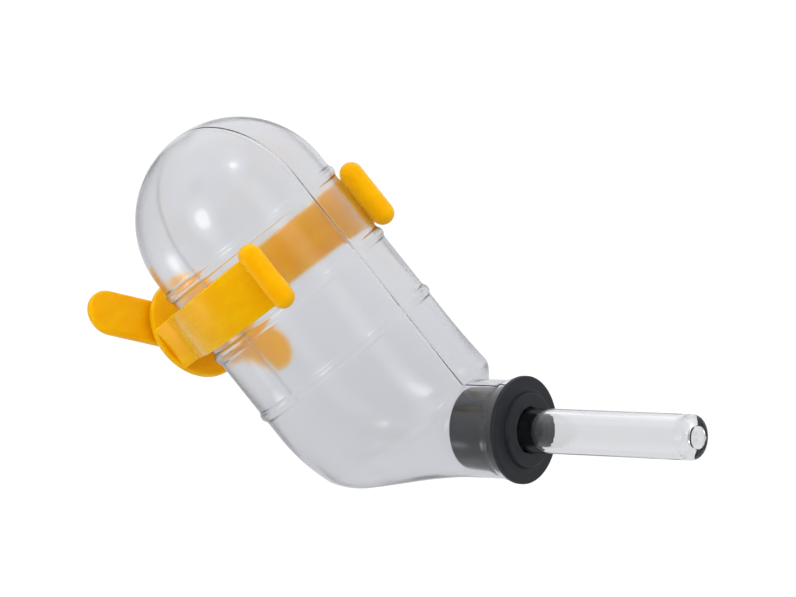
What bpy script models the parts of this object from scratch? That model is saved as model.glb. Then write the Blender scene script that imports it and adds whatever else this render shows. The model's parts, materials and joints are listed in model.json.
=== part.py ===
"""Small animal water bottle with a bent neck, a rubber stopper, a glass drinking tube and a snap clip.

The bottle stands dome up, the way it hangs in use, and its neck points down and away from the cage wall.
World axes: +Z is up, and +X runs from the cage wall toward the bottle. The origin is the centre of the
holder disc's back face, which bears on the wall's wires. All lengths are in metres.
"""

import math

import bmesh
import bpy
from mathutils import Matrix, Vector

GAP = 0.0003  # clearance between pieces that rest on each other or slide

# Bottle: a blown clear shell
BODY_RADIUS = 0.0283
BODY_AXIS_X = 0.0420
DOME_TOP_Z = 0.0442
WALL = 0.0010
RIDGE_HEIGHT = 0.0007
RIDGE_WIDTH = 0.0038
RIDGE_Z = (0.0110, -0.0102, -0.0302)
CROTCH_Z = -0.0556  # the sharp inside corner where the body meets the neck
NECK_TILT = math.radians(61.7)  # turn from straight down toward +X
NECK_RADIUS = 0.0132
NECK_LENGTH = 0.0149  # from the crotch to the mouth's plane
NECK_TAPER = math.radians(0.4)  # the underside's draft, against the neck's axis
HEEL_RADIUS = 0.0315
SHOULDER_POWER = 2.2  # how fast the sections turn round toward the neck
LIP_RADIUS = 0.01365
LIP_WIDTH = 0.0030
BOTTLE_SEGMENTS = 32

# Stopper: moulded rubber, its flange resting on the bottle's mouth
FLANGE_RADIUS = 0.01445
FLANGE_THICKNESS = 0.0016
BOSS_RADIUS = 0.0100
BOSS_HEIGHT = 0.0015
PLUG_LENGTH = 0.0160
PLUG_RADIUS_MOUTH = 0.01185
PLUG_RADIUS_END = 0.0109
STOPPER_SEGMENTS = 32

# Drinking tube: glass, its tip drawn in to a small hole by fire polishing
TUBE_RADIUS = 0.0060
TUBE_WALL = 0.0013
TUBE_REACH = 0.0562  # from the flange's back face to the tip
TIP_ROUNDING = 0.0021
TIP_HOLE_RADIUS = 0.0029
TIP_LENGTH = 0.0050  # the stretch over which the bore narrows
TUBE_SEGMENTS = 24

# Holder: one moulding of a disc, a block and two spring arms with rounded end beads
DISC_RADIUS = 0.0152
DISC_THICKNESS = 0.0020
BLOCK_CORNER_X = 0.0086
BLOCK_HALF_WIDTH = 0.0140
ARM_THICKNESS = 0.0022
ARM_HALF_HEIGHT_BLOCK = 0.00695
ARM_HALF_HEIGHT_BEAD = 0.0077
BEAD_ANGLE = math.radians(49.0)  # each bead's place, from +X round the bottle's axis
BEAD_RADIUS = 0.00325
BEAD_LENGTH = 0.0202
BEAD_SEGMENTS = 24
DISC_SEGMENTS = 48

# Wing: a bar behind the cage wall, with a split stem that snaps into the holder
WING_LENGTH = 0.0660
WING_WIDTH = 0.0132
WING_THICKNESS = 0.0024
WING_ANGLE = math.radians(44.0)  # turn of the bar below the +Y axis
WIRE_GAP = 0.0016  # room for the wall's wires between the disc and the wing
STEM_RADIUS = 0.0025
HEAD_RADIUS = 0.0041
HEAD_LENGTH = 0.0022
HEAD_SEAT_X = 0.0024  # floor of the holder's bore that the snap head hooks behind
STEM_SLOT = 0.0010
STEM_SEGMENTS = 24


def clear_scene():
    for thing in list(bpy.data.objects):
        bpy.data.objects.remove(thing, do_unlink=True)


def plastic(name, colour, roughness, clear=0.0, ior=1.5):
    """A Principled material. clear is the share of light that passes through."""
    material = bpy.data.materials.new(name)
    material.use_nodes = True
    shader = material.node_tree.nodes["Principled BSDF"]
    shader.inputs["Base Color"].default_value = (*colour, 1.0)
    shader.inputs["Roughness"].default_value = roughness
    shader.inputs["Metallic"].default_value = 0.0
    shader.inputs["Transmission Weight"].default_value = clear
    shader.inputs["IOR"].default_value = ior
    return material


def add_object(name, mesh_builder, material, sharp_angle=math.radians(32.0)):
    """An object from a bmesh, with outward normals and smooth round faces."""
    bmesh.ops.recalc_face_normals(mesh_builder, faces=mesh_builder.faces)
    mesh = bpy.data.meshes.new(name)
    mesh_builder.to_mesh(mesh)
    mesh_builder.free()
    mesh.shade_smooth()
    mesh.set_sharp_from_angle(angle=sharp_angle)
    mesh.materials.append(material)
    thing = bpy.data.objects.new(name, mesh)
    bpy.context.scene.collection.objects.link(thing)
    return thing


def place(thing, origin):
    """Moves an object's origin to a point, without moving its shape."""
    thing.data.transform(Matrix.Translation(-origin))
    thing.location = origin


def skin(builder, rings, close_rings=False):
    """Faces between rings of equal count. With close_rings, the last ring joins the first."""
    pairs = list(zip(rings, rings[1:]))
    if close_rings:
        pairs.append((rings[-1], rings[0]))
    for upper, lower in pairs:
        for i in range(len(upper)):
            j = (i + 1) % len(upper)
            builder.faces.new((upper[i], upper[j], lower[j], lower[i]))


def cap(builder, ring, tip):
    """A fan of faces from a ring to a point."""
    pole = builder.verts.new(tip)
    for i in range(len(ring)):
        builder.faces.new((ring[i], ring[(i + 1) % len(ring)], pole))


def turned(profile, origin, axis, segments):
    """A closed ring-shaped solid, turned about the axis from (distance along it, radius) points."""
    builder = bmesh.new()
    turn = axis.to_track_quat("Z", "Y")
    rings = []
    for along, radius in profile:
        ring = []
        for i in range(segments):
            angle = 2 * math.pi * i / segments
            spoke = Vector((radius * math.cos(angle), radius * math.sin(angle), along))
            ring.append(builder.verts.new(origin + turn @ spoke))
        rings.append(ring)
    skin(builder, rings, close_rings=True)
    return builder


def quarter_arc(centre, radius, start, end, steps):
    """Points (along, radius) of an arc about a centre, both ends included."""
    points = []
    for k in range(steps + 1):
        angle = start + (end - start) * k / steps
        points.append((centre[0] + radius * math.cos(angle), centre[1] + radius * math.sin(angle)))
    return points


# Lines and points that several pieces share

NECK_AXIS = Vector((math.sin(NECK_TILT), 0.0, -math.cos(NECK_TILT)))
NECK_OUTWARD = Vector((-math.cos(NECK_TILT), 0.0, -math.sin(NECK_TILT)))  # crotch to underside
CROTCH = Vector((BODY_AXIS_X + BODY_RADIUS, 0.0, CROTCH_Z))
MOUTH = CROTCH + NECK_LENGTH * NECK_AXIS + NECK_RADIUS * NECK_OUTWARD
FLANGE_BACK = MOUTH + GAP * NECK_AXIS


def heel_path():
    """The outer wall in the mid-plane: its x, the corner that the heel rounds, the underside's direction
    and the length of the heel's tangents."""
    wall_x = BODY_AXIS_X - BODY_RADIUS
    under_mouth = MOUTH + NECK_RADIUS * NECK_OUTWARD
    under = Matrix.Rotation(-NECK_TAPER, 3, "Y") @ -NECK_AXIS  # runs back along the underside
    corner = under_mouth + under * ((wall_x - under_mouth.x) / under.x)
    turn = math.acos(under.dot(Vector((0.0, 0.0, 1.0))))
    tangent = HEEL_RADIUS * math.tan(turn / 2)
    return wall_x, corner, under, tangent


def outer_wall_distance(point, direction):
    """How far the outer wall is from a point inside the mid-plane, in a direction."""
    wall_x, corner, under, tangent = heel_path()
    if direction.x < 0:
        reach = (wall_x - point.x) / direction.x
        if (point + reach * direction).z >= corner.z + tangent:
            return reach
    normal = Vector((-under.z, 0.0, under.x))
    reach = (corner - point).dot(normal) / direction.dot(normal)
    if (point + reach * direction - corner).dot(-under) >= tangent:
        return reach
    centre = Vector((wall_x + HEEL_RADIUS, 0.0, corner.z + tangent))
    offset = point - centre
    middle = offset.dot(direction)
    return -middle + math.sqrt(middle * middle - offset.dot(offset) + HEEL_RADIUS * HEEL_RADIUS)


def bottle_sections():
    """The outer skin's sections from dome to mouth.

    Each one is (inner point, direction to the outer wall, length, half width).
    """
    across = Vector((-1.0, 0.0, 0.0))
    sections = []

    def level(z, radius):
        sections.append((Vector((BODY_AXIS_X + radius, 0.0, z)), across, 2 * radius, radius))

    dome_centre_z = DOME_TOP_Z - BODY_RADIUS
    dome_steps = 8
    for k in range(1, dome_steps + 1):
        angle = math.pi / 2 * k / dome_steps
        level(dome_centre_z + BODY_RADIUS * math.cos(angle), BODY_RADIUS * math.sin(angle))
    for middle in RIDGE_Z:
        for share, height in ((0.5, 0.0), (0.25, 1.0), (-0.25, 1.0), (-0.5, 0.0)):
            level(middle + share * RIDGE_WIDTH, BODY_RADIUS + height * RIDGE_HEIGHT)

    corner, tangent = heel_path()[1::2]
    heel_top = corner.z + tangent
    heel_steps = 4
    for k in range(heel_steps):
        inner = Vector((CROTCH.x, 0.0, heel_top + (CROTCH_Z - heel_top) * k / heel_steps))
        sections.append((inner, across, outer_wall_distance(inner, across), BODY_RADIUS))

    fan_steps = 8
    for k in range(fan_steps + 1):
        share = k / fan_steps
        angle = NECK_TILT * share
        direction = Vector((-math.cos(angle), 0.0, -math.sin(angle)))
        length = outer_wall_distance(CROTCH, direction)
        half_width = length / 2 + (BODY_RADIUS - length / 2) * (1 - share) ** SHOULDER_POWER
        sections.append((CROTCH, direction, length, half_width))

    lip = LIP_RADIUS - NECK_RADIUS
    lip_start = NECK_LENGTH - LIP_WIDTH
    lip_edge = 0.0006
    for along, raised in (
        (lip_start / 2, 0.0),
        (lip_start, 0.0),
        (lip_start + lip_edge, 1.0),
        (NECK_LENGTH - lip_edge / 2, 1.0),
        (NECK_LENGTH, 0.5),
    ):
        inner = CROTCH + along * NECK_AXIS
        half = outer_wall_distance(inner, NECK_OUTWARD) / 2 + raised * lip
        sections.append((inner - raised * lip * NECK_OUTWARD, NECK_OUTWARD, 2 * half, half))
    return sections


def section_ring(builder, section, inset):
    """A closed ring of points round a section, moved in from it by the inset."""
    inner, direction, length, half_width = section
    half_length = length / 2
    centre = inner + half_length * direction
    ring = []
    for i in range(BOTTLE_SEGMENTS):
        angle = 2 * math.pi * i / BOTTLE_SEGMENTS
        along = -(half_length - inset) * math.cos(angle)
        aside = (half_width - inset) * math.sin(angle)
        ring.append(builder.verts.new(centre + along * direction + Vector((0.0, aside, 0.0))))
    return ring


def make_bottle(material):
    """The hollow shell: an outer and an inner skin, joined round the mouth."""
    builder = bmesh.new()
    sections = bottle_sections()
    outer = [section_ring(builder, s, 0.0) for s in sections]
    inner = [section_ring(builder, s, WALL) for s in sections]
    for k, section in enumerate(sections):
        if section[0].z > DOME_TOP_Z - BODY_RADIUS:
            sink_dome_ring(inner[k], section[0].z)
    skin(builder, outer)
    skin(builder, inner)
    skin(builder, [outer[-1], inner[-1]])
    cap(builder, outer[0], (BODY_AXIS_X, 0.0, DOME_TOP_Z))
    cap(builder, inner[0], (BODY_AXIS_X, 0.0, DOME_TOP_Z - WALL))
    bottle = add_object("bottle_shell", builder, material, math.radians(50.0))
    place(bottle, Vector((BODY_AXIS_X, 0.0, 0.0)))
    return bottle


def sink_dome_ring(ring, outer_z):
    """Puts an inner ring of the dome on the hemisphere one wall inside the outer one."""
    centre_z = DOME_TOP_Z - BODY_RADIUS
    rise = (outer_z - centre_z) / BODY_RADIUS
    radius = (BODY_RADIUS - WALL) * math.sqrt(1 - rise * rise)
    for vertex in ring:
        spoke = Vector((vertex.co.x - BODY_AXIS_X, vertex.co.y, 0.0)).normalized()
        height = centre_z + rise * (BODY_RADIUS - WALL)
        vertex.co = Vector((BODY_AXIS_X, 0.0, height)) + radius * spoke


def make_stopper(material):
    """Tapered plug, flange and raised boss round the tube's bore."""
    bore = TUBE_RADIUS + GAP
    edge = 0.0004
    boss_face = FLANGE_THICKNESS + BOSS_HEIGHT
    profile = [
        (-PLUG_LENGTH, bore),
        (-PLUG_LENGTH, PLUG_RADIUS_END - edge),
        (-PLUG_LENGTH + edge, PLUG_RADIUS_END),
        (0.0, PLUG_RADIUS_MOUTH),
        (0.0, FLANGE_RADIUS - edge),
        (edge, FLANGE_RADIUS),
        (FLANGE_THICKNESS - edge, FLANGE_RADIUS),
        (FLANGE_THICKNESS, FLANGE_RADIUS - edge),
        (FLANGE_THICKNESS, BOSS_RADIUS),
        (boss_face - edge, BOSS_RADIUS),
        (boss_face, BOSS_RADIUS - edge),
        (boss_face, bore),
    ]
    builder = turned(profile, FLANGE_BACK, NECK_AXIS, STOPPER_SEGMENTS)
    stopper = add_object("rubber_stopper", builder, material)
    place(stopper, FLANGE_BACK)
    return stopper


def make_tube(material):
    """Straight glass tube whose outer end is rounded in to a small hole."""
    bore = TUBE_RADIUS - TUBE_WALL
    rounding = (TUBE_REACH - TIP_ROUNDING, TUBE_RADIUS - TIP_ROUNDING)
    profile = [(-PLUG_LENGTH, bore), (-PLUG_LENGTH, TUBE_RADIUS)]
    profile += quarter_arc(rounding, TIP_ROUNDING, math.pi / 2, 0.0, 4)
    profile += [
        (TUBE_REACH - 0.0006, TIP_HOLE_RADIUS),
        (TUBE_REACH - 0.0018, TIP_HOLE_RADIUS),
        (TUBE_REACH - 0.5 * TIP_LENGTH, 0.6 * TIP_HOLE_RADIUS + 0.4 * bore),
        (TUBE_REACH - TIP_LENGTH, bore),
    ]
    builder = turned(profile, FLANGE_BACK, NECK_AXIS, TUBE_SEGMENTS)
    tube = add_object("drinking_tube", builder, material)
    place(tube, FLANGE_BACK)
    return tube


def cutter(thing):
    """Marks an object as a tool that only shapes another one."""
    thing.hide_render = True
    thing.display_type = "WIRE"
    return thing


def combine(target, tool, operation):
    """A Boolean modifier on the target. The tool stays in the scene, hidden."""
    step = target.modifiers.new(tool.name, "BOOLEAN")
    step.operation = operation
    step.solver = "EXACT"
    step.object = tool
    cutter(tool)


def rod(name, start, end, radius, segments, material):
    """A solid round bar between two points."""
    builder = bmesh.new()
    axis = (end - start).normalized()
    turn = axis.to_track_quat("Z", "Y").to_matrix().to_4x4()
    bmesh.ops.create_cone(
        builder,
        cap_ends=True,
        segments=segments,
        radius1=radius,
        radius2=radius,
        depth=(end - start).length,
        matrix=Matrix.Translation((start + end) / 2) @ turn,
    )
    return add_object(name, builder, material)


def capsule(name, middle, radius, length, segments, material):
    """A bar along Z with dome-shaped ends."""
    builder = bmesh.new()
    reach = length / 2 - radius
    steps = 4
    rings = []
    for side in (1, -1):
        for k in range(steps):
            angle = math.pi / 2 * (k + 1) / steps
            if side < 0:
                angle = math.pi / 2 * (steps - k) / steps
            height = middle.z + side * (reach + radius * math.cos(angle))
            ring = []
            for i in range(segments):
                turn = 2 * math.pi * i / segments
                x = middle.x + radius * math.sin(angle) * math.cos(turn)
                y = middle.y + radius * math.sin(angle) * math.sin(turn)
                ring.append(builder.verts.new((x, y, height)))
            rings.append(ring)
    skin(builder, rings)
    cap(builder, rings[0], (middle.x, middle.y, middle.z + length / 2))
    cap(builder, rings[-1], (middle.x, middle.y, middle.z - length / 2))
    return add_object(name, builder, material)


def arm_outline():
    """Plan points (outer, inner, half height), from the -Y bead round the back to the +Y bead."""
    inner_radius = BODY_RADIUS + GAP
    outer_radius = inner_radius + ARM_THICKNESS
    axis = Vector((BODY_AXIS_X, 0.0, 0.0))
    corner = Vector((BLOCK_CORNER_X, -BLOCK_HALF_WIDTH, 0.0))
    spoke = corner - axis
    corner_angle = math.atan2(spoke.y, spoke.x)
    tangent_angle = corner_angle + math.acos(outer_radius / spoke.length)

    def on_circle(radius, angle):
        return axis + radius * Vector((math.cos(angle), math.sin(angle), 0.0))

    half = []
    arm_steps = 10
    for k in range(arm_steps + 1):
        share = k / arm_steps
        angle = -BEAD_ANGLE + (tangent_angle + BEAD_ANGLE) * share
        height = ARM_HALF_HEIGHT_BEAD + (ARM_HALF_HEIGHT_BLOCK - ARM_HALF_HEIGHT_BEAD) * share
        half.append((on_circle(outer_radius, angle), on_circle(inner_radius, angle), height))
    flat_start = on_circle(outer_radius, tangent_angle)
    flat_steps = 3
    for k in range(1, flat_steps + 1):
        share = k / flat_steps
        angle = tangent_angle + (corner_angle - tangent_angle) * share
        inner = on_circle(inner_radius, angle)
        half.append((flat_start.lerp(corner, share), inner, ARM_HALF_HEIGHT_BLOCK))
    back_x = DISC_THICKNESS / 2
    for share in (1.0, 0.5):
        outer = Vector((back_x, -BLOCK_HALF_WIDTH * share, 0.0))
        angle = -math.pi + (corner_angle + math.pi) * share * 0.7
        half.append((outer, on_circle(inner_radius, angle), ARM_HALF_HEIGHT_BLOCK))
    middle = (Vector((back_x, 0.0, 0.0)), on_circle(inner_radius, math.pi), ARM_HALF_HEIGHT_BLOCK)

    def mirrored(point):
        return Vector((point.x, -point.y, point.z))

    other = [(mirrored(outer), mirrored(inner), height) for outer, inner, height in reversed(half)]
    return half + [middle] + other


def make_arms(material):
    """The block and both spring arms, as one band round the bottle."""
    builder = bmesh.new()
    rings = []
    for outer, inner, height in arm_outline():
        up = Vector((0.0, 0.0, height))
        corners = (outer + up, inner + up, inner - up, outer - up)
        rings.append([builder.verts.new(c) for c in corners])
    skin(builder, rings)
    builder.faces.new(rings[0])
    builder.faces.new(rings[-1])
    return add_object("holder_clip", builder, material)


def make_holder(material):
    """Block and arms joined with the disc and the end beads, then bored for the wing's stem."""
    holder = make_arms(material)
    disc_front = Vector((DISC_THICKNESS, 0.0, 0.0))
    disc = rod("disc", Vector((0.0, 0.0, 0.0)), disc_front, DISC_RADIUS, DISC_SEGMENTS, material)
    combine(holder, disc, "UNION")
    bead_reach = BODY_RADIUS + GAP + BEAD_RADIUS
    for name, side in (("bead_near", -1), ("bead_far", 1)):
        x = BODY_AXIS_X + bead_reach * math.cos(BEAD_ANGLE)
        middle = Vector((x, side * bead_reach * math.sin(BEAD_ANGLE), 0.0))
        bead = capsule(name, middle, BEAD_RADIUS, BEAD_LENGTH, BEAD_SEGMENTS, material)
        combine(holder, bead, "UNION")
    behind = Vector((-0.001, 0.0, 0.0))
    seat = Vector((HEAD_SEAT_X, 0.0, 0.0))
    ahead = Vector((BODY_AXIS_X - BODY_RADIUS / 2, 0.0, 0.0))
    stem_hole = rod("stem_hole", behind, ahead, STEM_RADIUS + GAP, STEM_SEGMENTS, material)
    head_hole = rod("head_hole", seat, ahead, HEAD_RADIUS + 2 * GAP, STEM_SEGMENTS, material)
    combine(holder, stem_hole, "DIFFERENCE")
    combine(holder, head_hole, "DIFFERENCE")
    return holder


def make_wing(material):
    """The bar with rounded ends, and the split stem with its hooked head."""
    front_x = -WIRE_GAP
    along = Vector((0.0, math.cos(WING_ANGLE), -math.sin(WING_ANGLE)))
    aside = Vector((0.0, math.sin(WING_ANGLE), math.cos(WING_ANGLE)))
    radius = WING_WIDTH / 2
    reach = WING_LENGTH / 2 - radius
    steps = 10
    edge = 0.0006
    builder = bmesh.new()
    rings = []
    for x, inset in (
        (front_x, edge),
        (front_x - edge, 0.0),
        (front_x - WING_THICKNESS + edge, 0.0),
        (front_x - WING_THICKNESS, edge),
    ):
        ring = []
        for side in (1, -1):
            for k in range(steps + 1):
                angle = -math.pi / 2 + math.pi * k / steps
                offset = side * (reach + (radius - inset) * math.cos(angle)) * along
                offset += side * (radius - inset) * math.sin(angle) * aside
                ring.append(builder.verts.new(Vector((x, 0.0, 0.0)) + offset))
        rings.append(ring)
    skin(builder, rings)
    builder.faces.new(rings[0])
    builder.faces.new(rings[-1])
    wing = add_object("wing_toggle", builder, material)

    head_back = HEAD_SEAT_X + GAP
    profile = [
        (front_x - WING_THICKNESS / 2, STEM_RADIUS),
        (head_back, STEM_RADIUS),
        (head_back, HEAD_RADIUS),
        (head_back + 0.4 * HEAD_LENGTH, HEAD_RADIUS),
    ]
    tip = (head_back + HEAD_LENGTH, 0.75 * STEM_RADIUS)
    combine(wing, stem(profile + [tip], material), "UNION")
    slot = stem_slot(material)
    combine(wing, slot, "DIFFERENCE")
    return wing


def stem(profile, material):
    """A solid turned about X, closed at both ends."""
    builder = bmesh.new()
    rings = []
    for x, radius in profile:
        ring = []
        for i in range(STEM_SEGMENTS):
            angle = 2 * math.pi * i / STEM_SEGMENTS
            ring.append(builder.verts.new((x, radius * math.cos(angle), radius * math.sin(angle))))
        rings.append(ring)
    skin(builder, rings)
    builder.faces.new(rings[0])
    builder.faces.new(rings[-1])
    return add_object("stem", builder, material)


def stem_slot(material):
    """The cut that splits the stem into two springy prongs, from the disc's back face to past the head."""
    length = HEAD_SEAT_X + 2 * HEAD_LENGTH
    builder = bmesh.new()
    size = Matrix.Diagonal((length, STEM_SLOT, 4 * HEAD_RADIUS, 1.0))
    middle = Matrix.Translation((length / 2, 0.0, 0.0))
    bmesh.ops.create_cube(builder, size=1.0, matrix=middle @ size)
    return add_object("stem_slot", builder, material)


def main():
    clear_scene()
    clear_plastic = plastic("clear_plastic", (0.86, 0.88, 0.90), 0.06, clear=0.9, ior=1.49)
    glass = plastic("glass", (0.90, 0.93, 0.93), 0.02, clear=1.0, ior=1.5)
    rubber = plastic("dark_rubber", (0.035, 0.038, 0.042), 0.45)
    yellow = plastic("yellow_plastic", (0.90, 0.42, 0.0), 0.32)
    make_bottle(clear_plastic)
    make_stopper(rubber)
    make_tube(glass)
    make_holder(yellow)
    make_wing(yellow)


main()
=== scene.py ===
"""Looks of the small animal water bottle: fine meshes, materials, light and camera.

Every visible piece is a smooth, finely meshed version of one CAD node and rides on that node's body.
Lengths are in metres in the row frame: +Z is up, +X runs from the cage wall toward the bottle.
"""

import json
import math

import bmesh
import bpy
from mathutils import Matrix, Vector


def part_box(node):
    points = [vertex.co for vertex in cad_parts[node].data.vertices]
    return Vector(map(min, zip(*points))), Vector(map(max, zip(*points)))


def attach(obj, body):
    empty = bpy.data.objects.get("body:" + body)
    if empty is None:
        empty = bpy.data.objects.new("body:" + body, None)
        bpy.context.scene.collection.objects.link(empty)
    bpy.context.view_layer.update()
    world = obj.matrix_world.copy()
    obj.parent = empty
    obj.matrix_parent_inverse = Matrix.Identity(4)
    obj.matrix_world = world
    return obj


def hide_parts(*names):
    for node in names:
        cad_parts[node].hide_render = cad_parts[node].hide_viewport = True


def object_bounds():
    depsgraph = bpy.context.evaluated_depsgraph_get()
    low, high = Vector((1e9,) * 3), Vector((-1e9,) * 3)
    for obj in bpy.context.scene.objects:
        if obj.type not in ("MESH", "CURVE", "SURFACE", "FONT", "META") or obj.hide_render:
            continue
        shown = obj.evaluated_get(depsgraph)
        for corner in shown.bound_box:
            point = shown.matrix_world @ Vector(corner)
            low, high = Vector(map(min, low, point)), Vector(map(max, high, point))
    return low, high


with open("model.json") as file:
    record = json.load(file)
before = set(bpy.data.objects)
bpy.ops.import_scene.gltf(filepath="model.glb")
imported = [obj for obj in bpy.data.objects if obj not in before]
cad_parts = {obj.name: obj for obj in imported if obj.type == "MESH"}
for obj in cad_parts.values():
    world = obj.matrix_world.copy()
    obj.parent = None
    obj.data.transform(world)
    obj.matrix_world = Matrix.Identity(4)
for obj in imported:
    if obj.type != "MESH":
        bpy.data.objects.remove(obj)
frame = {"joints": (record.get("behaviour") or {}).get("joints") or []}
cad_low, cad_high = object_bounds()

X, Y, Z = Vector((1, 0, 0)), Vector((0, 1, 0)), Vector((0, 0, 1))

# Places that the frame gives
JOINTS = {joint["name"]: joint for joint in frame["joints"]}
BODY_AXIS_X = JOINTS["bottle_turn"]["pos_m"][0]
NECK_AXIS = Vector(JOINTS["stopper_pull"]["axis"]).normalized()
NECK_OUTWARD = Vector((NECK_AXIS.z, 0.0, -NECK_AXIS.x))  # from the neck's top side to its underside
NECK_TILT = math.acos(-NECK_AXIS.z)
BOTTLE_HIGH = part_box("bottle_shell")[1]
DOME_TOP_Z = BOTTLE_HIGH.z

GAP = 0.0003  # clearance between pieces

# Bottle
RIDGE_HEIGHT = 0.0007
RIDGE_WIDTH = 0.0038
RIDGE_FLANK = 0.85  # share of a ridge's half width that its flank takes
RIDGE_FADE = 0.2  # sine of the angle over which a ridge fades toward the mould's parting line
RIDGE_Z = (0.0110, -0.0102, -0.0302)
BODY_RADIUS = BOTTLE_HIGH.y - RIDGE_HEIGHT
DOME_CENTRE_Z = DOME_TOP_Z - BODY_RADIUS
WALL = 0.0010
CROTCH = Vector((BODY_AXIS_X + BODY_RADIUS, 0.0, -0.0556))
CROTCH_ROUNDING = 0.0009
NECK_RADIUS = 0.0132
NECK_LENGTH = 0.0149
NECK_TAPER = math.radians(0.4)
HEEL_RADIUS = 0.0315
SHOULDER_POWER = 2.2
LIP_RADIUS = 0.01365
LIP_WIDTH = 0.0030
LIP_STEP = 0.25  # share of the lip's width over which it rises from the neck
LIP_THICKENING = 0.9  # share of the lip's rise that its wall is thicker by
SEAM_HEIGHT = 0.00026  # less than the gap, so that it turns freely inside the arms
HEEL_SEAM_HEIGHT = 0.00016
HEEL_SEAM_FADE = 0.0080  # the heel's seam fades out over this length, from the last ridge's upper edge down
SEAM_WIDTH = 0.0005
BOTTLE_SEGMENTS = 144

MOUTH = CROTCH + NECK_LENGTH * NECK_AXIS + NECK_RADIUS * NECK_OUTWARD
FLANGE_BACK = MOUTH + GAP * NECK_AXIS

# Stopper
FLANGE_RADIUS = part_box("rubber_stopper")[1].y
FLANGE_THICKNESS = 0.0016
BOSS_RADIUS = 0.0100
BOSS_HEIGHT = 0.0015
BOSS_GROOVE = 0.0004  # radius of the groove round the boss
PLUG_LENGTH = 0.0160
PLUG_RADIUS_MOUTH = 0.01185
PLUG_RADIUS_END = 0.0109
PLUG_RIB_HEIGHT = 0.00012
PLUG_RIB_PLACES = (0.62, 0.8)  # shares of the plug's length, from its inner end
PLUG_RIB_SPREAD = 0.035  # share of the plug's length
RUBBER_EDGE = 0.0004
STOPPER_SEGMENTS = 160

# Tube
TUBE_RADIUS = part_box("drinking_tube")[1].y
TUBE_WALL = 0.0013
TUBE_REACH = 0.0562  # from the flange's back face to the tip
TIP_ROUNDING = 0.0021
TIP_HOLE_RADIUS = 0.0029
TIP_EDGE = 0.0006  # rounding of the hole's rim
TIP_THROAT = 0.0016  # from the tip to where the bore starts to widen
TIP_LENGTH = 0.0050  # from the tip to where the bore has its full width
TUBE_SEGMENTS = 128

# Holder
DISC_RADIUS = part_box("holder_clip")[1].z
DISC_THICKNESS = 0.0020
DISC_EDGE = 0.0005
BLOCK_CORNER_X = 0.0086
BLOCK_HALF_WIDTH = 0.0140
BLOCK_ROUNDING = 0.0007  # the block's corner is rounded over this length
ARM_THICKNESS = 0.0022
ARM_HALF_HEIGHT_BLOCK = 0.00695
ARM_HALF_HEIGHT_BEAD = 0.0077
ARM_EDGE = 0.0004
BEAD_ANGLE = math.radians(49.0)
BEAD_RADIUS = 0.00325
BEAD_LENGTH = 0.0202
DISC_SEGMENTS = 128
BEAD_SEGMENTS = 64

# Wing
WING_LENGTH = 0.0660
WING_WIDTH = 0.0132
WING_THICKNESS = 0.0024
WING_ANGLE = math.radians(44.0)
WING_EDGE = 0.0008
WIRE_GAP = 0.0016
STEM_RADIUS = 0.0025
HEAD_RADIUS = 0.0041
HEAD_TIP_RADIUS = 0.75 * STEM_RADIUS
HEAD_LENGTH = 0.0022
HEAD_LAND = 0.4  # share of the head's length that keeps its full radius
HEAD_EDGE = 0.0003
HEAD_SEAT_X = 0.0024
STEM_SLOT = 0.0010
STEM_SEGMENTS = 64


# ---------------------------------------------------------------- mesh helpers


def object_from(name, builder, material, sharp_angle=math.radians(35.0)):
    """A scene object from a bmesh, smooth except across sharp edges."""
    bmesh.ops.recalc_face_normals(builder, faces=builder.faces)
    mesh = bpy.data.meshes.new(name)
    builder.to_mesh(mesh)
    builder.free()
    mesh.shade_smooth()
    mesh.set_sharp_from_angle(angle=sharp_angle)
    mesh.materials.append(material)
    thing = bpy.data.objects.new(name, mesh)
    bpy.context.scene.collection.objects.link(thing)
    return thing


def skin(builder, rings, close_rings=False):
    """Faces between rings of equal count. With close_rings, the last ring joins the first."""
    pairs = list(zip(rings, rings[1:]))
    if close_rings:
        pairs.append((rings[-1], rings[0]))
    for upper, lower in pairs:
        for i in range(len(upper)):
            j = (i + 1) % len(upper)
            builder.faces.new((upper[i], upper[j], lower[j], lower[i]))


def cap(builder, ring, tip):
    """A fan of faces from a ring to a point."""
    pole = builder.verts.new(tip)
    for i in range(len(ring)):
        builder.faces.new((ring[i], ring[(i + 1) % len(ring)], pole))


def smooth(share):
    """Eases 0..1 in and out."""
    return share * share * (3 - 2 * share)


def steps_between(start, end, count):
    """count values from start up to, not including, end."""
    return [start + (end - start) * k / count for k in range(count)]


def arc(centre, radius, start, end, steps=6):
    """Points (along, radius) of an arc, both ends included. Angles are in degrees."""
    points = []
    for k in range(steps + 1):
        angle = math.radians(start + (end - start) * k / steps)
        points.append((centre[0] + radius * math.cos(angle), centre[1] + radius * math.sin(angle)))
    return points


def line(start, end, count):
    """Points from start to end, the end left out."""
    return [tuple(a + (b - a) * k / count for a, b in zip(start, end)) for k in range(count)]


def turned_rings(builder, profile, origin, axis, segments):
    """Rings of points about the axis, one for each (distance along it, radius)."""
    turn = axis.to_track_quat("Z", "Y")
    rings = []
    for along, radius in profile:
        ring = []
        for i in range(segments):
            angle = 2 * math.pi * i / segments
            spoke = Vector((radius * math.cos(angle), radius * math.sin(angle), along))
            ring.append(builder.verts.new(origin + turn @ spoke))
        rings.append(ring)
    return rings


def turned(profile, origin, axis, segments):
    """A ring-shaped solid, turned about the axis from a closed profile."""
    builder = bmesh.new()
    skin(builder, turned_rings(builder, profile, origin, axis, segments), close_rings=True)
    return builder


def solid_turned(profile, origin, axis, segments):
    """A solid turned about the axis from a profile that starts and ends at radius 0."""
    builder = bmesh.new()
    rings = turned_rings(builder, profile[1:-1], origin, axis, segments)
    skin(builder, rings)
    cap(builder, rings[0], origin + profile[0][0] * axis)
    cap(builder, rings[-1], origin + profile[-1][0] * axis)
    return builder


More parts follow.
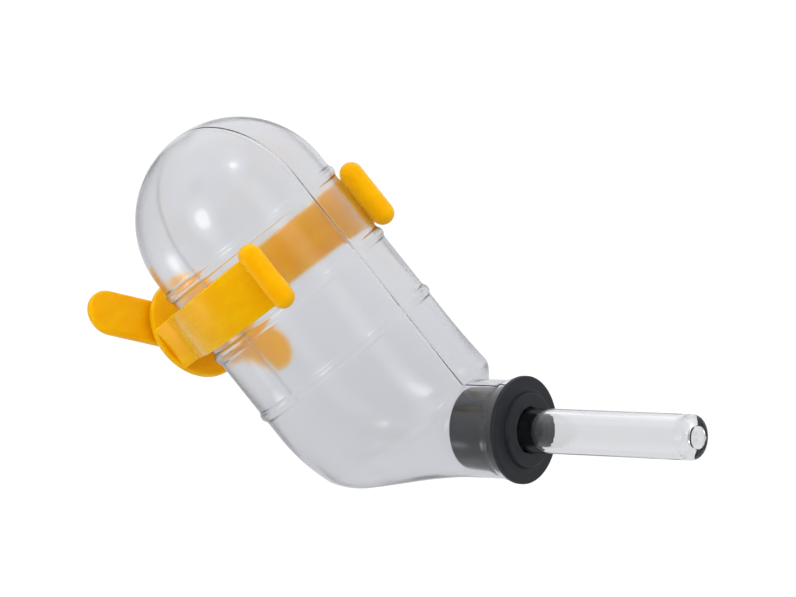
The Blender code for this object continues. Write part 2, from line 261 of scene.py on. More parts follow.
def combine(target, tool, operation):
    """Joins or cuts the target with a tool object, which is then removed."""
    step = target.modifiers.new(operation, "BOOLEAN")
    step.operation = operation
    step.solver = "EXACT"
    step.object = tool
    bpy.context.view_layer.update()
    evaluated = target.evaluated_get(bpy.context.evaluated_depsgraph_get())
    mesh = bpy.data.meshes.new_from_object(evaluated)
    target.modifiers.clear()
    target.data = mesh
    bpy.data.objects.remove(tool, do_unlink=True)


# ---------------------------------------------------------------- bottle


def heel_path():
    """The outer wall in the mid-plane: its x, the corner that the heel rounds, the underside's direction
    and the length of the heel's tangents."""
    wall_x = BODY_AXIS_X - BODY_RADIUS
    under_mouth = MOUTH + NECK_RADIUS * NECK_OUTWARD
    under = Matrix.Rotation(-NECK_TAPER, 3, "Y") @ -NECK_AXIS
    corner = under_mouth + under * ((wall_x - under_mouth.x) / under.x)
    turn = math.acos(under.dot(Z))
    return wall_x, corner, under, HEEL_RADIUS * math.tan(turn / 2)


def heel_top():
    """The height at which the straight wall ends and the heel's rounding starts."""
    _, corner, _, tangent = heel_path()
    return corner.z + tangent


def outer_wall_distance(point, direction):
    """How far the outer wall is from a point in the mid-plane, in a direction toward the heel side."""
    wall_x, corner, under, tangent = heel_path()
    if direction.x < 0:
        reach = (wall_x - point.x) / direction.x
        if (point + reach * direction).z >= corner.z + tangent:
            return reach
    normal = Vector((-under.z, 0.0, under.x))
    reach = (corner - point).dot(normal) / direction.dot(normal)
    if (point + reach * direction - corner).dot(-under) >= tangent:
        return reach
    offset = point - Vector((wall_x + HEEL_RADIUS, 0.0, corner.z + tangent))
    middle = offset.dot(direction)
    return -middle + math.sqrt(middle * middle - offset.dot(offset) + HEEL_RADIUS * HEEL_RADIUS)


def ridge_rise(z):
    """How far the ridges lift the wall at a height: a flat top with rounded flanks."""
    rise = 0.0
    for middle in RIDGE_Z:
        offset = abs(z - middle) / (RIDGE_WIDTH / 2)
        if offset < 1.0:
            rise = RIDGE_HEIGHT * smooth(min(1.0, (1.0 - offset) / RIDGE_FLANK))
    return rise


def body_heights():
    """Heights of the level sections below the dome, close together on the ridges."""
    plain_steps = 5
    ridge_steps = 16
    low_steps = 4  # from the last ridge to the heel
    heights = []
    last = DOME_CENTRE_Z
    for middle in RIDGE_Z:
        top = middle + RIDGE_WIDTH / 2
        heights += steps_between(last, top, plain_steps)
        heights += steps_between(top, top - RIDGE_WIDTH, ridge_steps)
        last = top - RIDGE_WIDTH
    return heights + steps_between(last, heel_top(), low_steps)


def bottle_sections():
    """The outer skin's sections from dome to mouth. Each is (point on the crotch's side, direction across,
    length, half width, wall, ridge)."""
    across = -X
    sections = []
    dome_steps = 30
    for k in range(1, dome_steps):
        angle = math.pi / 2 * k / dome_steps
        radius = BODY_RADIUS * math.sin(angle)
        z = DOME_CENTRE_Z + BODY_RADIUS * math.cos(angle)
        sections.append((Vector((BODY_AXIS_X + radius, 0.0, z)), across, 2 * radius, radius, WALL, 0.0))
    for z in body_heights():
        inner = Vector((CROTCH.x, 0.0, z))
        sections.append((inner, across, 2 * BODY_RADIUS, BODY_RADIUS, WALL, ridge_rise(z)))

    heel_steps = 16
    pivot = CROTCH + CROTCH_ROUNDING * (X + Z * math.tan(NECK_TILT / 2))
    for z in steps_between(heel_top(), pivot.z, heel_steps):
        inner = Vector((CROTCH.x, 0.0, z))
        sections.append((inner, across, outer_wall_distance(inner, across), BODY_RADIUS, WALL, 0.0))

    fan_steps = 40
    for k in range(fan_steps + 1):
        share = k / fan_steps
        angle = NECK_TILT * share
        direction = Vector((-math.cos(angle), 0.0, -math.sin(angle)))
        inner = pivot + CROTCH_ROUNDING * direction
        length = outer_wall_distance(inner, direction)
        half_width = length / 2 + (BODY_RADIUS - length / 2) * (1 - share) ** SHOULDER_POWER
        sections.append((inner, direction, length, half_width, WALL, 0.0))

    neck_start = CROTCH_ROUNDING * math.tan(NECK_TILT / 2)
    lip_start = NECK_LENGTH - LIP_WIDTH
    lip = LIP_RADIUS - NECK_RADIUS
    neck_steps = 8
    stations = [(along, 0.0) for along in steps_between(neck_start, lip_start, neck_steps)[1:]]
    lip_steps = 12
    for k in range(lip_steps + 1):
        share = k / lip_steps
        along = lip_start + LIP_WIDTH * share
        stations.append((along, lip * smooth(min(1.0, share / LIP_STEP))))
    for along, raised in stations:
        inner = CROTCH + along * NECK_AXIS
        half = outer_wall_distance(inner, NECK_OUTWARD) / 2 + raised
        start = inner - raised * NECK_OUTWARD
        sections.append((start, NECK_OUTWARD, 2 * half, half, WALL + LIP_THICKENING * raised, 0.0))
    return sections


def ring_angles():
    """Angles round a section, with extra ones across the mould's seam lines at 0 and pi."""
    angles = [2 * math.pi * i / BOTTLE_SEGMENTS for i in range(BOTTLE_SEGMENTS)]
    spread = SEAM_WIDTH / 2 / BODY_RADIUS
    for middle in (0.0, math.pi):
        for share in (-1.0, -0.5, 0.5, 1.0):
            angles.append((middle + share * spread) % (2 * math.pi))
    return sorted(angles)


def seam_rise(angle, heel_height):
    """Height of the mould's parting line on the outer skin. The heel's side has a height of its own."""
    spread = SEAM_WIDTH / 2 / BODY_RADIUS
    offset = min(angle % math.pi, math.pi - angle % math.pi) / spread
    height = SEAM_HEIGHT if math.cos(angle) > 0 else heel_height
    return height * (1 - offset * offset) ** 2 if offset < 1 else 0.0


def section_ring(builder, section, inset, seam):
    """A closed ring of points round a section, moved in by the inset's share of the wall. Seam is 1 for the
    skin that has the parting line and 0 for the other."""
    inner, direction, length, half_width, wall, ridge = section
    fading = min(1.0, max(0.0, (RIDGE_Z[-1] + RIDGE_WIDTH / 2 - inner.z) / HEEL_SEAM_FADE))
    heel_seam = HEEL_SEAM_HEIGHT * (1 - smooth(fading))
    half_length = length / 2
    centre = inner + half_length * direction
    ring = []
    for angle in ring_angles():
        fade = 1 - math.exp(-((math.sin(angle) / RIDGE_FADE) ** 2))
        lift = seam_rise(angle, heel_seam) * seam + ridge * fade - inset * wall
        along = -(half_length + lift) * math.cos(angle)
        aside = (half_width + lift) * math.sin(angle)
        ring.append(builder.verts.new(centre + along * direction + aside * Y))
    return ring


def dome_inner_ring(builder, section):
    """The inner ring of a dome section, on the hemisphere one wall inside the outer one."""
    rise = (section[0].z - DOME_CENTRE_Z) / BODY_RADIUS
    inner_radius = BODY_RADIUS - WALL
    height = DOME_CENTRE_Z + rise * inner_radius
    spread = inner_radius * math.sqrt(1 - rise * rise)
    ring = []
    for angle in ring_angles():
        x = BODY_AXIS_X + spread * math.cos(angle)
        ring.append(builder.verts.new((x, spread * math.sin(angle), height)))
    return ring


def make_bottle(material):
    """The clear shell: an outer and an inner skin joined by a flat ring at the lip."""
    builder = bmesh.new()
    sections = bottle_sections()
    outer = [section_ring(builder, section, 0.0, 1.0) for section in sections]
    inner = []
    for section in sections:
        if section[0].z > DOME_CENTRE_Z:
            inner.append(dome_inner_ring(builder, section))
        else:
            inner.append(section_ring(builder, section, 1.0, 0.0))
    skin(builder, outer)
    skin(builder, inner)
    skin(builder, [outer[-1], inner[-1]])
    cap(builder, outer[0], (BODY_AXIS_X, 0.0, DOME_TOP_Z))
    cap(builder, inner[0], (BODY_AXIS_X, 0.0, DOME_TOP_Z - WALL))
    return object_from("bottle_skin", builder, material, math.radians(60.0))


# ---------------------------------------------------------------- stopper and tube


def make_stopper(material):
    """Plug with two faint sealing ribs, flange and boss, every edge rounded as moulded rubber is."""
    bore = TUBE_RADIUS + GAP / 2
    edge = RUBBER_EDGE
    boss_face = FLANGE_THICKNESS + BOSS_HEIGHT
    end = -PLUG_LENGTH
    profile = [(end + edge, bore)] + arc((end + edge, bore + edge), edge, 270, 180, 4)[1:]
    profile += arc((end + 2 * edge, PLUG_RADIUS_END - 2 * edge), 2 * edge, 180, 95, 6)
    plug_steps = 40
    for k in range(1, plug_steps):
        share = k / plug_steps
        along = end + 2 * edge + (PLUG_LENGTH - 2 * edge) * share
        radius = PLUG_RADIUS_END + (PLUG_RADIUS_MOUTH - PLUG_RADIUS_END) * share
        rib = sum(math.exp(-(((share - place) / PLUG_RIB_SPREAD) ** 2)) for place in PLUG_RIB_PLACES)
        profile.append((along, radius + PLUG_RIB_HEIGHT * rib))
    profile += [(0.0, PLUG_RADIUS_MOUTH), (0.0, FLANGE_RADIUS - edge)]
    profile += arc((edge, FLANGE_RADIUS - edge), edge, 180, 90, 5)[1:]
    profile += arc((FLANGE_THICKNESS - edge, FLANGE_RADIUS - edge), edge, 90, 0, 5)
    face_start = (FLANGE_THICKNESS, FLANGE_RADIUS - 1.5 * edge)
    profile += line(face_start, (FLANGE_THICKNESS, BOSS_RADIUS + 2 * BOSS_GROOVE), 6)
    profile += arc((FLANGE_THICKNESS, BOSS_RADIUS + BOSS_GROOVE), BOSS_GROOVE, 0, -180, 6)
    profile += arc((boss_face - edge, BOSS_RADIUS - edge), edge, 90, 0, 5)
    profile += line((boss_face, BOSS_RADIUS - 1.5 * edge), (boss_face, bore + 2 * edge), 4)
    profile += arc((boss_face - edge, bore + edge), edge, 0, -90, 4)
    builder = turned(profile, FLANGE_BACK, NECK_AXIS, STOPPER_SEGMENTS)
    return object_from("stopper_body", builder, material, math.radians(50.0))


def make_tube(material):
    """Glass tube with a fire-polished tip that closes in to a small hole."""
    bore = TUBE_RADIUS - TUBE_WALL
    rounding = (TUBE_REACH - TIP_ROUNDING, TUBE_RADIUS - TIP_ROUNDING)
    end_edge = TUBE_WALL / 2
    profile = arc((-PLUG_LENGTH + end_edge, bore + end_edge), end_edge, 270, 90, 10)
    profile += line((-PLUG_LENGTH + 2 * end_edge, TUBE_RADIUS), rounding[:1] + (TUBE_RADIUS,), 10)
    profile += arc(rounding, TIP_ROUNDING, 90, 0, 14)
    profile += arc((TUBE_REACH - TIP_EDGE, TIP_HOLE_RADIUS + TIP_EDGE), TIP_EDGE, 0, -90, 6)[1:]
    throat_steps = 14
    throat = TUBE_REACH - TIP_THROAT
    for k in range(1, throat_steps + 1):
        share = k / throat_steps
        blend = (1 - math.cos(math.pi * share)) / 2
        along = throat + (TUBE_REACH - TIP_LENGTH - throat) * share
        profile.append((along, TIP_HOLE_RADIUS + (bore - TIP_HOLE_RADIUS) * blend))
    straight_start = TUBE_REACH - TIP_LENGTH - 0.001  # clear of the throat's last point
    profile += line((straight_start, bore), (-PLUG_LENGTH + 2 * end_edge, bore), 10)
    builder = turned(profile, FLANGE_BACK, NECK_AXIS, TUBE_SEGMENTS)
    return object_from("glass_tube", builder, material, math.radians(60.0))


# ---------------------------------------------------------------- holder


def on_circle(radius, angle):
    """A point at the origin's height, on a circle round the bottle's axis."""
    return Vector((BODY_AXIS_X, 0.0, 0.0)) + radius * Vector((math.cos(angle), math.sin(angle), 0.0))


def arm_stations():
    """Plan points (outer, inner) with a half height, from the -Y bead round the back to the +Y bead."""
    inner_radius = BODY_RADIUS + GAP
    outer_radius = inner_radius + ARM_THICKNESS
    corner = Vector((BLOCK_CORNER_X, -BLOCK_HALF_WIDTH, 0.0))
    spoke = corner - Vector((BODY_AXIS_X, 0.0, 0.0))
    corner_angle = math.atan2(spoke.y, spoke.x)
    tangent_angle = corner_angle + math.acos(outer_radius / spoke.length)
    back = Vector((DISC_THICKNESS / 2, -BLOCK_HALF_WIDTH, 0.0))
    half = []
    arm_steps = 40
    for k in range(arm_steps + 1):
        share = k / arm_steps
        angle = -BEAD_ANGLE + (tangent_angle + BEAD_ANGLE) * share
        height = ARM_HALF_HEIGHT_BEAD + (ARM_HALF_HEIGHT_BLOCK - ARM_HALF_HEIGHT_BEAD) * share
        half.append((on_circle(outer_radius, angle), on_circle(inner_radius, angle), height))

    flat_start = on_circle(outer_radius, tangent_angle)
    before = corner + (flat_start - corner).normalized() * BLOCK_ROUNDING
    after = corner + (back - corner).normalized() * BLOCK_ROUNDING
    corner_steps = 6
    outers = [flat_start.lerp(before, k / corner_steps) for k in range(1, corner_steps + 1)]
    for k in range(1, corner_steps):
        share = k / corner_steps
        outers.append(before.lerp(corner, share).lerp(corner.lerp(after, share), share))
    outers += [after, back, Vector((back.x, -BLOCK_HALF_WIDTH / 2, 0.0))]
    count = len(outers) + 1
    for k, outer in enumerate(outers, 1):
        angle = tangent_angle + (-math.pi - tangent_angle) * k / count
        half.append((outer, on_circle(inner_radius, angle), ARM_HALF_HEIGHT_BLOCK))
    middle = (Vector((back.x, 0.0, 0.0)), on_circle(inner_radius, math.pi), ARM_HALF_HEIGHT_BLOCK)

    def mirrored(point):
        """The point on the other side of the mid-plane."""
        return Vector((point.x, -point.y, point.z))

    other = [(mirrored(outer), mirrored(inner), height) for outer, inner, height in reversed(half)]
    return half + [middle] + other


def make_arms(material):
    """The block and both arms as one band with rounded long edges."""
    builder = bmesh.new()
    corners = ((1, -1, 180), (1, 1, 90), (-1, 1, 0), (-1, -1, 270))  # up, side, first angle in degrees
    edge_steps = 3
    rings = []
    for outer, inner, height in arm_stations():
        across = (inner - outer).normalized()
        middle = (inner + outer) / 2
        half_width = (inner - outer).length / 2
        ring = []
        for up, side, start in corners:
            corner = middle + side * (half_width - ARM_EDGE) * across + up * (height - ARM_EDGE) * Z
            for k in range(edge_steps + 1):
                angle = math.radians(start - 90 * k / edge_steps)
                spoke = math.cos(angle) * across + math.sin(angle) * Z
                ring.append(builder.verts.new(corner + ARM_EDGE * spoke))
        rings.append(ring)
    skin(builder, rings)
    builder.faces.new(rings[0])
    builder.faces.new(rings[-1])
    return object_from("holder_body", builder, material)


def make_holder(material):
    """Block and arms joined with the disc and the end beads, then bored for the wing's stem."""
    holder = make_arms(material)
    edge = DISC_EDGE
    rim = arc((edge, DISC_RADIUS - edge), edge, 180, 90, 5)
    rim += arc((DISC_THICKNESS - edge, DISC_RADIUS - edge), edge, 90, 0, 5)
    face_steps = line((0.0, 0.0), (0.0, DISC_RADIUS - edge), 6)
    far_steps = [(DISC_THICKNESS, radius) for _, radius in reversed(face_steps)]
    disc_builder = solid_turned(face_steps + rim + far_steps, Vector(), X, DISC_SEGMENTS)
    disc = object_from("disc", disc_builder, material)
    combine(holder, disc, "UNION")
    reach = BODY_RADIUS + GAP + BEAD_RADIUS
    half = BEAD_LENGTH / 2 - BEAD_RADIUS
    for side in (-1, 1):
        middle = on_circle(reach, side * BEAD_ANGLE)
        profile = arc((-half, 0.0), BEAD_RADIUS, 180, 90, 12)
        profile += line((-half, BEAD_RADIUS), (half, BEAD_RADIUS), 10)[1:]
        profile += arc((half, 0.0), BEAD_RADIUS, 90, 0, 12)
        bead = object_from("bead", solid_turned(profile, middle, Z, BEAD_SEGMENTS), material)
        combine(holder, bead, "UNION")
    end = BODY_AXIS_X / 2
    for start, radius in ((-DISC_THICKNESS / 2, STEM_RADIUS + GAP), (HEAD_SEAT_X, HEAD_RADIUS + 2 * GAP)):
        profile = [(start, 0), (start, radius), (end, radius), (end, 0)]
        hole = solid_turned(profile, Vector(), X, STEM_SEGMENTS)
        combine(holder, object_from("hole", hole, material), "DIFFERENCE")
    finish_shading(holder)
    return holder


def finish_shading(thing):
    """Smooth shading except across the edges that the joins and cuts left."""
    thing.data.shade_smooth()
    thing.data.set_sharp_from_angle(angle=math.radians(30.0))


# ---------------------------------------------------------------- wing


def make_wing(material):
    """The bar with rounded ends and edges, and the split stem with its hooked head."""
    along = Vector((0.0, math.cos(WING_ANGLE), -math.sin(WING_ANGLE)))
    aside = Vector((0.0, math.sin(WING_ANGLE), math.cos(WING_ANGLE)))
    radius = WING_WIDTH / 2
    reach = WING_LENGTH / 2 - radius
    back_x = -WIRE_GAP - WING_THICKNESS
    edge = WING_EDGE
    levels = arc((-WIRE_GAP - edge, edge), edge, 0, -90, 5)
    levels += arc((back_x + edge, edge), edge, -90, -180, 5)
    builder = bmesh.new()
    rings = []
    end_steps = 32
    for x, inset in levels:
        ring = []
        for side in (1, -1):
            for k in range(end_steps + 1):
                angle = -math.pi / 2 + math.pi * k / end_steps
                offset = side * (reach + (radius - inset) * math.cos(angle)) * along
                offset += side * (radius - inset) * math.sin(angle) * aside
                ring.append(builder.verts.new(x * X + offset))
        rings.append(ring)
    skin(builder, rings)
    builder.faces.new(rings[0])
    builder.faces.new(rings[-1])
    wing = object_from("wing_bar", builder, material)

    root = back_x + WING_THICKNESS / 2
    seat = HEAD_SEAT_X + GAP
    head_end = seat + HEAD_LENGTH
    profile = [(root, 0.0), (root, STEM_RADIUS), (seat, STEM_RADIUS), (seat, HEAD_RADIUS - HEAD_EDGE)]
    profile += arc((seat + HEAD_EDGE, HEAD_RADIUS - HEAD_EDGE), HEAD_EDGE, 180, 90, 4)[1:]
    profile.append((seat + HEAD_LAND * HEAD_LENGTH, HEAD_RADIUS))
    profile += [(head_end, HEAD_TIP_RADIUS), (head_end, 0.0)]
    stem = object_from("stem", solid_turned(profile, Vector(), X, STEM_SEGMENTS), material)
    combine(wing, stem, "UNION")
    slot = bmesh.new()
    length = HEAD_SEAT_X + 2 * HEAD_LENGTH
    size = Matrix.Diagonal((length, STEM_SLOT, 4 * HEAD_RADIUS, 1.0))
    bmesh.ops.create_cube(slot, size=1.0, matrix=Matrix.Translation((length / 2, 0, 0)) @ size)
    combine(wing, object_from("slot", slot, material), "DIFFERENCE")
    finish_shading(wing)
    return wing


# ---------------------------------------------------------------- materials


def new_material(name):
    """A material with its nodes, its links and its main shader."""
    material = bpy.data.materials.new(name)
    material.use_nodes = True
    nodes = material.node_tree.nodes
    return material, nodes, material.node_tree.links, nodes["Principled BSDF"]


def noise(nodes, links, scale, detail=3.0, stretch=(1, 1, 1)):
    """Noise in the row frame, so that it stays on the piece. Scale is in repeats per metre."""
    place = nodes.new("ShaderNodeTexCoord")
    mapping = nodes.new("ShaderNodeMapping")
    mapping.inputs["Scale"].default_value = stretch
    texture = nodes.new("ShaderNodeTexNoise")
    texture.inputs["Scale"].default_value = scale
    texture.inputs["Detail"].default_value = detail
    links.new(place.outputs["Object"], mapping.inputs["Vector"])
    links.new(mapping.outputs["Vector"], texture.inputs["Vector"])
    return texture.outputs["Fac"]


def spread(nodes, links, value, low, high):
    """Maps a noise value, most of which lies between 0.3 and 0.7, to low..high."""
    range_node = nodes.new("ShaderNodeMapRange")
    range_node.inputs["From Min"].default_value = 0.3
    range_node.inputs["From Max"].default_value = 0.7
    range_node.inputs["To Min"].default_value = low
    range_node.inputs["To Max"].default_value = high
    links.new(value, range_node.inputs["Value"])
    return range_node.outputs["Result"]


def bump(nodes, links, height, distance, strength=1.0):
    """A surface bent by a height texture."""
    node = nodes.new("ShaderNodeBump")
    node.inputs["Distance"].default_value = distance
    node.inputs["Strength"].default_value = strength
    links.new(height, node.inputs["Height"])
    return node.outputs["Normal"]


def clear_plastic():
    """Blow-moulded plastic: faintly wavy, greyer toward the heel. Lamps shine through it."""
    material, nodes, links, shader = new_material("clear_plastic_skin")
    place = nodes.new("ShaderNodeTexCoord")
    from_heel = nodes.new("ShaderNodeVectorMath")
    from_heel.operation = "DOT_PRODUCT"
    from_heel.inputs[1].default_value = -NECK_OUTWARD
    links.new(place.outputs["Object"], from_heel.inputs[0])
    share = nodes.new("ShaderNodeMapRange")
    share.inputs["From Min"].default_value = -heel_path()[1].dot(NECK_OUTWARD)
    share.inputs["From Max"].default_value = DOME_CENTRE_Z
    links.new(from_heel.outputs["Value"], share.inputs["Value"])
    ramp = nodes.new("ShaderNodeValToRGB")
    ramp.color_ramp.elements[0].color = (0.885, 0.892, 0.910, 1)
    ramp.color_ramp.elements[1].color = (0.976, 0.981, 0.992, 1)
    links.new(share.outputs["Result"], ramp.inputs["Fac"])
    links.new(ramp.outputs["Color"], shader.inputs["Base Color"])
    shader.inputs["Transmission Weight"].default_value = 1.0
    shader.inputs["IOR"].default_value = 1.46
    shader.inputs["Roughness"].default_value = 0.1
    waves = noise(nodes, links, 55.0, 1.0, (1, 1, 0.5))
    links.new(bump(nodes, links, waves, 0.0006), shader.inputs["Normal"])
    absorb = nodes.new("ShaderNodeVolumeAbsorption")
    absorb.inputs["Color"].default_value = (0.62, 0.64, 0.68, 1)
    absorb.inputs["Density"].default_value = 12.0
    links.new(absorb.outputs["Volume"], nodes["Material Output"].inputs["Volume"])

    open_wall = nodes.new("ShaderNodeBsdfTransparent")
    open_wall.inputs["Color"].default_value = (0.92, 0.92, 0.93, 1)
    path = nodes.new("ShaderNodeLightPath")
    mix = nodes.new("ShaderNodeMixShader")
    links.new(path.outputs["Is Shadow Ray"], mix.inputs["Fac"])
    links.new(shader.outputs["BSDF"], mix.inputs[1])
    links.new(open_wall.outputs["BSDF"], mix.inputs[2])
    links.new(mix.outputs["Shader"], nodes["Material Output"].inputs["Surface"])
    return material


def tube_glass():
    """Clear drawn glass with faint lines along its length."""
    material, nodes, links, shader = new_material("tube_glass")
    shader.inputs["Base Color"].default_value = (0.99, 0.995, 0.995, 1)
    shader.inputs["Transmission Weight"].default_value = 1.0
    shader.inputs["IOR"].default_value = 1.47
    shader.inputs["Roughness"].default_value = 0.0
    place = nodes.new("ShaderNodeTexCoord")
    along = nodes.new("ShaderNodeMapping")
    along.vector_type = "TEXTURE"
    along.inputs["Rotation"].default_value = NECK_AXIS.to_track_quat("Z", "Y").to_euler()
    along.inputs["Scale"].default_value = (1, 1, 60)
    lines = nodes.new("ShaderNodeTexNoise")
    lines.inputs["Scale"].default_value = 450.0
    lines.inputs["Detail"].default_value = 2.0
    links.new(place.outputs["Object"], along.inputs["Vector"])
    links.new(along.outputs["Vector"], lines.inputs["Vector"])
    links.new(bump(nodes, links, lines.outputs["Fac"], 0.00016), shader.inputs["Normal"])
    return material


def dark_rubber():
    """Moulded rubber: a matt near-black with a fine grain and dusty mottling."""
    material, nodes, links, shader = new_material("stopper_rubber")
    mottle = noise(nodes, links, 420.0, 4.0)
    ramp = nodes.new("ShaderNodeValToRGB")
    ramp.color_ramp.elements[0].position = 0.3
    ramp.color_ramp.elements[0].color = (0.010, 0.0125, 0.0150, 1)
    ramp.color_ramp.elements[1].position = 0.7
    ramp.color_ramp.elements[1].color = (0.016, 0.0195, 0.0240, 1)
    links.new(mottle, ramp.inputs["Fac"])
    links.new(ramp.outputs["Color"], shader.inputs["Base Color"])
    links.new(spread(nodes, links, mottle, 0.42, 0.56), shader.inputs["Roughness"])
    shader.inputs["Specular IOR Level"].default_value = 0.28
    grain = noise(nodes, links, 3500.0, 2.0)
    links.new(bump(nodes, links, grain, 0.00004, 0.5), shader.inputs["Normal"])
    return material


def yellow_plastic():
    """Injection-moulded polypropylene: slightly translucent, satin, with faint flow marks."""
    material, nodes, links, shader = new_material("yellow_plastic_skin")
    flow = noise(nodes, links, 110.0, 3.0, (1, 1, 2.5))
    ramp = nodes.new("ShaderNodeValToRGB")
    ramp.color_ramp.elements[0].position = 0.3
    ramp.color_ramp.elements[0].color = (0.90, 0.44, 0.001, 1)
    ramp.color_ramp.elements[1].position = 0.7
    ramp.color_ramp.elements[1].color = (0.93, 0.50, 0.001, 1)
    links.new(flow, ramp.inputs["Fac"])
    links.new(ramp.outputs["Color"], shader.inputs["Base Color"])
    shader.inputs["Subsurface Weight"].default_value = 0.8
    shader.inputs["Subsurface Radius"].default_value = (1.0, 0.32, 0.05)
    shader.inputs["Subsurface Scale"].default_value = 0.005
    shader.inputs["IOR"].default_value = 1.49
    shader.inputs["Specular IOR Level"].default_value = 0.3
    shader.inputs["Specular Tint"].default_value = (1.0, 0.78, 0.12, 1)
    links.new(spread(nodes, links, flow, 0.22, 0.30), shader.inputs["Roughness"])
    orange_peel = noise(nodes, links, 900.0, 2.0)
    links.new(bump(nodes, links, orange_peel, 0.00004, 0.5), shader.inputs["Normal"])
    return material


# ---------------------------------------------------------------- floor, light and camera


def make_floor():
    """A round pale floor a little below the object."""
    drop = 0.035
    builder = bmesh.new()
    bmesh.ops.create_circle(builder, cap_ends=True, segments=96, radius=0.32)
    floor = object_from("floor", builder, floor_material())
    floor.location = ((cad_low.x + cad_high.x) / 2, 0.0, cad_low.z - drop)


def white_to_the_eye(nodes, links, shaded):
    """Plain white where it is seen directly, and the given shader for all other light paths."""
    white = nodes.new("ShaderNodeEmission")
    white.inputs["Strength"].default_value = 1.05
    path = nodes.new("ShaderNodeLightPath")
    mix = nodes.new("ShaderNodeMixShader")
    links.new(path.outputs["Is Camera Ray"], mix.inputs["Fac"])
    links.new(shaded, mix.inputs[1])
    links.new(white.outputs["Emission"], mix.inputs[2])
    return mix.outputs["Shader"]


def floor_material():
    """White to the eye. Through clear pieces and in reflections it is as bright as the room's horizon."""
    material, nodes, links, shader = new_material("floor_paint")
    nodes.remove(shader)
    glow = nodes.new("ShaderNodeEmission")
    glow.inputs["Color"].default_value = (0.70, 0.707, 0.728, 1)
    seen = white_to_the_eye(nodes, links, glow.outputs["Emission"])
    links.new(seen, nodes["Material Output"].inputs["Surface"])
    return material


MATT_FILL = 0.98  # the room's strength on matt surfaces, against what it shows through clear ones
THROUGH_FILL = 1.6  # the same again for matt surfaces that are lit and seen through the whole bottle
WALL_FACES = 8  # faces of the bottle's wall that such light passes
GLOSS_FILL = 0.45  # the strength, in reflections, of the room's darker part, in front of the bottle
SIDE_FILL = 0.22  # how much brighter the room is to the bottle's right, and darker to its left
FLAG = 0.6  # the room's strength at the middle of the dark card behind the dome's left side


def make_surroundings():
    """A white backdrop to the eye. Light comes from a softer grey room, brighter above and to the right."""
    world = bpy.data.worlds.new("studio")
    world.use_nodes = True
    bpy.context.scene.world = world
    nodes, links = world.node_tree.nodes, world.node_tree.links
    nodes.clear()

    def between(value, high, low=1.0, start=0.0, end=1.0):
        """Maps start..end to low..high."""
        node = nodes.new("ShaderNodeMapRange")
        settings = (("From Min", start), ("From Max", end), ("To Min", low), ("To Max", high))
        for socket, number in settings:
            node.inputs[socket].default_value = number
        links.new(value, node.inputs["Value"])
        return node.outputs["Result"]

    def product(first, second):
        """Two values multiplied."""
        node = nodes.new("ShaderNodeMath")
        node.operation = "MULTIPLY"
        links.new(first, node.inputs[0])
        links.new(second, node.inputs[1])
        return node.outputs["Value"]

    place = nodes.new("ShaderNodeTexCoord")

    def facing(azimuth, elevation):
        """The cosine between each direction and the one toward these angles."""
        node = nodes.new("ShaderNodeVectorMath")
        node.operation = "DOT_PRODUCT"
        node.inputs[1].default_value = toward(azimuth, elevation)
        links.new(place.outputs["Generated"], node.inputs[0])
        return node.outputs["Value"]

    split = nodes.new("ShaderNodeSeparateXYZ")
    links.new(place.outputs["Generated"], split.inputs["Vector"])
    ramp = nodes.new("ShaderNodeValToRGB")
    shades = ((0.0, 0.64), (0.44, 0.70), (0.54, 0.71), (0.68, 0.81), (1.0, 1.05))
    ramp.color_ramp.elements.remove(ramp.color_ramp.elements[1])
    for k, (position, shade) in enumerate(shades):
        stop = ramp.color_ramp.elements.new(position) if k else ramp.color_ramp.elements[0]
        stop.color = (shade, 1.01 * shade, 1.04 * shade, 1)
    links.new(between(split.outputs["Z"], 1.0, 0.0, -1.0), ramp.inputs["Fac"])

    right_side, dark_card, front = facing(136, 0), facing(-98, 38), facing(46, 3)
    strength = between(right_side, 1 + SIDE_FILL, 1 - SIDE_FILL, start=-1.0)
    path = nodes.new("ShaderNodeLightPath")
    matt = between(path.outputs["Diffuse Depth"], MATT_FILL)
    card = between(dark_card, FLAG, start=0.8, end=0.95)
    for share in (matt, card):
        strength = product(strength, share)
    walls = path.outputs["Transmission Depth"]
    through = between(walls, THROUGH_FILL, start=WALL_FACES / 2, end=WALL_FACES)
    gloss = between(front, GLOSS_FILL, end=0.7)
    for depth, share in (("Diffuse Depth", through), ("Glossy Depth", gloss)):
        blend = nodes.new("ShaderNodeMix")
        blend.inputs["A"].default_value = 1.0
        links.new(path.outputs[depth], blend.inputs["Factor"])
        links.new(share, blend.inputs["B"])
        strength = product(strength, blend.outputs["Result"])

    room = nodes.new("ShaderNodeBackground")
    links.new(ramp.outputs["Color"], room.inputs["Color"])
    links.new(strength, room.inputs["Strength"])
    output = nodes.new("ShaderNodeOutputWorld")
    seen = white_to_the_eye(nodes, links, room.outputs["Background"])
    links.new(seen, output.inputs["Surface"])


def toward(azimuth, elevation):
    """The direction from the object to a viewer at these angles, azimuth 0 being seen from -Y."""
    a, e = math.radians(azimuth), math.radians(elevation)
    return Vector((math.sin(a) * math.cos(e), -math.cos(a) * math.cos(e), math.sin(e)))


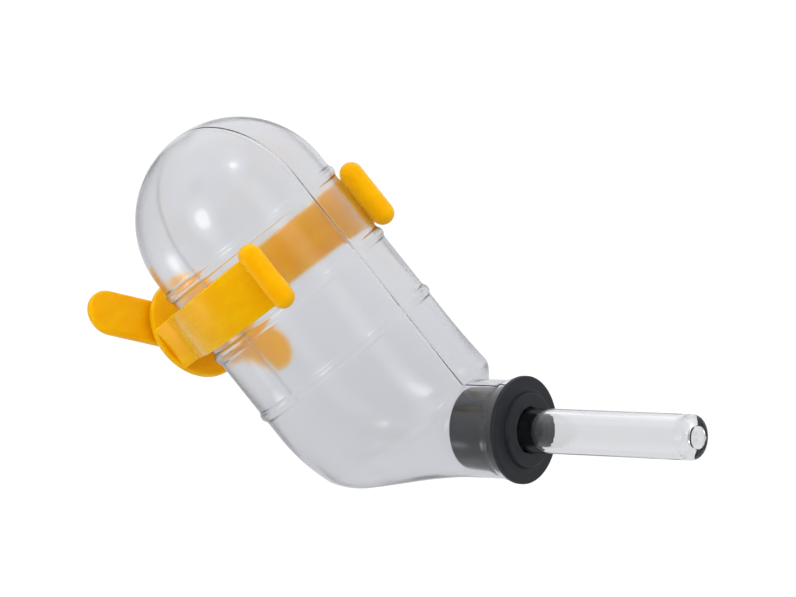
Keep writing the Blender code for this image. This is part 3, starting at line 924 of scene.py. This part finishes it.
def make_light(name, azimuth, elevation, width, height, layers, mirrored=True):
    """An oval softbox aimed at the object's middle. Its layers, each a (share of the size, radiance), make
    its edge fade. Without mirrored, it shows in no reflection."""
    distance = 0.8
    direction = toward(azimuth, elevation)
    for k, (share, radiance) in enumerate(layers):
        data = bpy.data.lights.new(f"{name}_{k}", "AREA")
        data.shape = "ELLIPSE"
        data.size, data.size_y = share * width, share * height
        area = math.pi * data.size * data.size_y / 4
        data.energy = radiance * math.pi * area
        light = bpy.data.objects.new(data.name, data)
        bpy.context.scene.collection.objects.link(light)
        light.location = (cad_low + cad_high) / 2 + distance * direction
        light.rotation_mode = "QUATERNION"
        light.rotation_quaternion = direction.to_track_quat("Z", "Y")
        light.visible_camera = False
        light.visible_glossy = light.visible_transmission = mirrored


def make_lights():
    """Two soft lamps for highlights, one low at the side, a strip for the tube and a fill for matt pieces."""
    make_light("key", 14, 28, 0.26, 0.38, ((0.8, 4.0), (1.3, 1.0), (2.0, 0.4)))
    make_light("top", 96, 52, 0.12, 0.14, ((0.7, 5.0), (1.3, 1.2), (2.2, 0.5)))
    make_light("edge", -50, 9, 0.26, 0.20, ((0.8, 3.0), (1.4, 1.0)))
    make_light("strip", 82, 0, 0.26, 1.3, ((0.6, 0.7), (1.0, 0.5), (1.5, 0.3)))
    make_light("fill", 120, 20, 0.6, 0.6, ((1.0, 1.2),), mirrored=False)


def make_camera():
    """A long lens at the object's side. The camera is rolled, so that the bottle leans over to the left."""
    distance = 1.0
    view_width = 0.2169
    roll = math.radians(38.54)
    back = toward(46.27, 2.57)
    right = Vector((-back.y, back.x, 0.0)).normalized()
    up = back.cross(right)
    frame_right = right * math.cos(roll) - up * math.sin(roll)
    frame_up = right * math.sin(roll) + up * math.cos(roll)
    aim_right = 0.03331  # from the bottle's axis to the picture's middle
    aim_up = -0.0088
    middle = Vector((BODY_AXIS_X, 0.0, 0.0)) + aim_right * frame_right + aim_up * frame_up
    data = bpy.data.cameras.new("camera")
    data.sensor_width = 36.0
    data.lens = data.sensor_width * distance / view_width
    data.clip_start = 0.01
    camera = bpy.data.objects.new("camera", data)
    bpy.context.scene.collection.objects.link(camera)
    axes = Matrix((frame_right, frame_up, back)).transposed()
    camera.matrix_world = Matrix.Translation(middle + distance * back) @ axes.to_4x4()
    bpy.context.scene.camera = camera


# ---------------------------------------------------------------- build


def stand_for(piece, node, body):
    """Rides a visible piece on a body, in place of a CAD node."""
    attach(piece, body)
    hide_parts(node)


yellow = yellow_plastic()
stand_for(make_bottle(clear_plastic()), "bottle_shell", "bottle")
stand_for(make_stopper(dark_rubber()), "rubber_stopper", "stopper")
stand_for(make_tube(tube_glass()), "drinking_tube", "tube")
stand_for(make_holder(yellow), "holder_clip", "holder")
stand_for(make_wing(yellow), "wing_toggle", "wing")
make_floor()
make_surroundings()
make_lights()
make_camera()
bpy.context.scene.view_settings.view_transform = "Standard"
